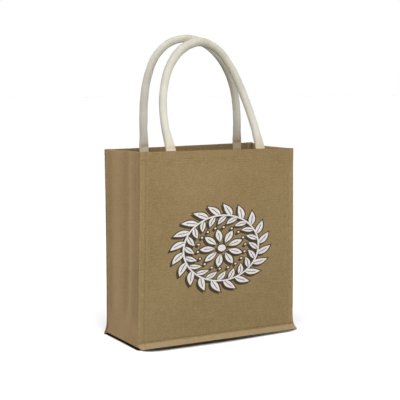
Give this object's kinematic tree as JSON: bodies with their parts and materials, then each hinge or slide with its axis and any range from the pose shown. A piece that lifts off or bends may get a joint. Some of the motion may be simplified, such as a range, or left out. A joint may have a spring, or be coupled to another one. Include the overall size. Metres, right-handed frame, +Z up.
{
  "type": "jute tote bag",
  "caption": "Upright open-topped jute tote bag with creased gusset sides, turned hem and arched stuffed cotton handles.",
  "frame": {"origin": "middle of the base on the floor", "axes": "+Z up, -Y towards the front panel, +X to the right as seen from the front"},
  "size_m": [0.3557, 0.1706, 0.595],
  "materials": {
    "panel_jute": "coarse plain weave, matt",
    "strip_jute": "coarse plain weave, matt",
    "handle_cotton": "fine cotton weave, matt"
  },
  "bodies": {
    "root": {"front_panel": "panel_jute", "back_panel": "panel_jute", "side_and_base_strip": "strip_jute", "front_handle": "handle_cotton", "back_handle": "handle_cotton"}
  },
  "joints": []
}
